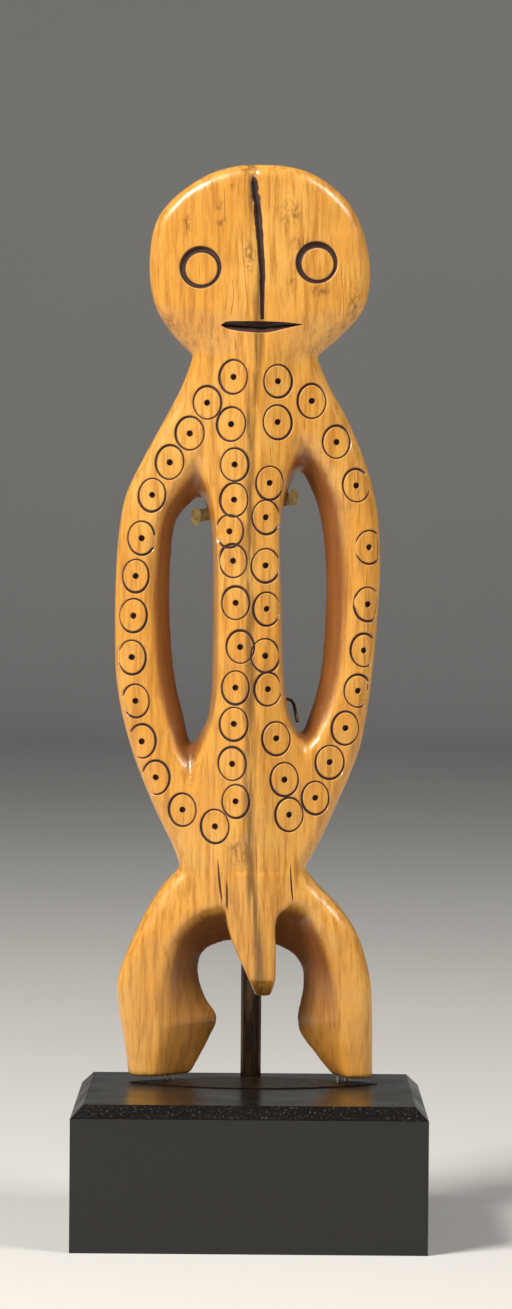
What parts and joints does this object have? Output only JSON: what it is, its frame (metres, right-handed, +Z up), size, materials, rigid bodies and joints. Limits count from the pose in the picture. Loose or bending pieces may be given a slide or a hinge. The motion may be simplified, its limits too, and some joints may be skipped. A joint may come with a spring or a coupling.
{
  "type": "bone figurine",
  "caption": "Flat carved bone figurine with ring-and-dot carving, arms free of the torso, held upright by a rod and clips on a black chamfered block.",
  "frame": {"origin": "middle of the block's underside, on the surface that it stands on", "axes": "+Z up, the figure looks along -Y, and its own left arm is towards +X"},
  "size_m": [0.0608, 0.0488, 0.187],
  "materials": {
    "bone": "honey-orange patinated bone, hand-polished, with dark grain",
    "black_lacquer": "glossy black lacquer, dusty and worn at the top edges",
    "dark_bronze": "dark brown patina, satin",
    "brass": "dull old brass",
    "bright_pin": "bright polished metal"
  },
  "bodies": {
    "root": {"figurine": "bone", "base_block": "black_lacquer", "support_rod": "dark_bronze", "upper_clip": "brass", "lower_prong": "dark_bronze", "foot_plate": "dark_bronze", "foot_pin_left_outer": "bright_pin", "foot_pin_left_inner": "bright_pin", "foot_pin_right_inner": "bright_pin", "foot_pin_right_outer": "bright_pin"}
  },
  "joints": []
}
